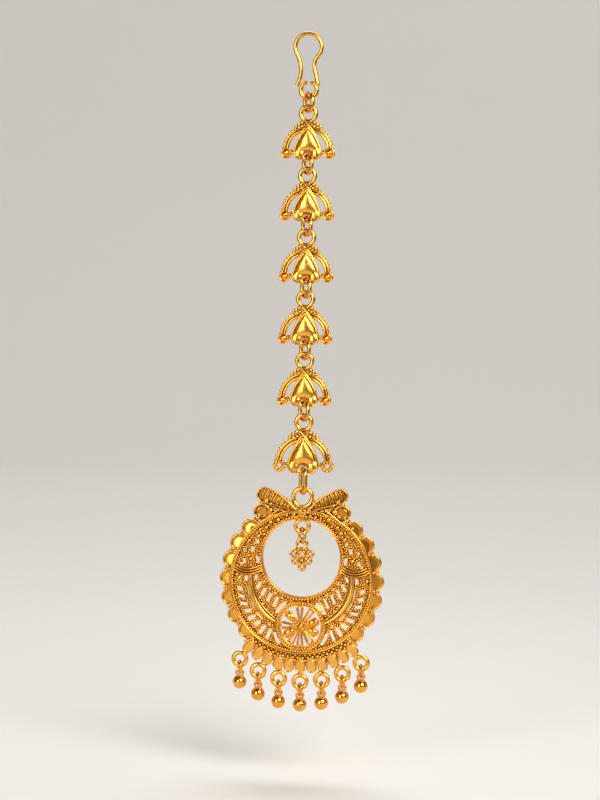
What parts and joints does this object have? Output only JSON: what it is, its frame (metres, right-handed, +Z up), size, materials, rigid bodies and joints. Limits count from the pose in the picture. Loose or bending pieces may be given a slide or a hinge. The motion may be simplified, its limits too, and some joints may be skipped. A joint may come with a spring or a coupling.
{
  "type": "maang tikka",
  "caption": "Gold maang tikka: a hair hook, a chain of heart stations and a pierced crescent pendant with a rosette, a flower charm, scalloped plates and ball drops.",
  "frame": {"origin": "inside of the hook's round top, where the jewel hangs", "axes": "+Z up along the hanging chain, +X across the jewel to the right seen from the front, and the front faces -Y"},
  "size_m": [0.0366, 0.0036, 0.1496],
  "materials": {
    "bright_gold": "polished gold plate on drawn wire, plates and balls",
    "worked_gold": "polished gold plate on pierced, stamped and granulated work"
  },
  "bodies": {
    "chain": {"hair_hook": "bright_gold", "chain_link_1": "bright_gold", "chain_link_2": "bright_gold", "chain_link_3": "bright_gold", "chain_link_4": "bright_gold", "chain_link_5": "bright_gold", "chain_link_6": "bright_gold", "chain_link_7": "bright_gold", "station_1": "worked_gold", "station_2": "worked_gold", "station_3": "worked_gold", "station_4": "worked_gold", "station_5": "worked_gold", "station_6": "worked_gold"},
    "pendant": {"pendant_frame": "worked_gold", "charm_link": "bright_gold", "flower_charm": "worked_gold", "drop_link_1": "bright_gold", "drop_link_2": "bright_gold", "drop_link_3": "bright_gold", "drop_link_4": "bright_gold", "drop_link_5": "bright_gold", "drop_link_6": "bright_gold", "drop_link_7": "bright_gold", "drop_ball_1": "bright_gold", "drop_ball_2": "bright_gold", "drop_ball_3": "bright_gold", "drop_ball_4": "bright_gold", "drop_ball_5": "bright_gold", "drop_ball_6": "bright_gold", "drop_ball_7": "bright_gold"}
  },
  "joints": [
    {"name": "pendant_swing", "type": "hinge", "parent": "chain", "child": "pendant", "pos_m": [0.0002, 0, -0.09921], "axis": [1, 0, 0], "range_deg": [-40, 40]}
  ]
}
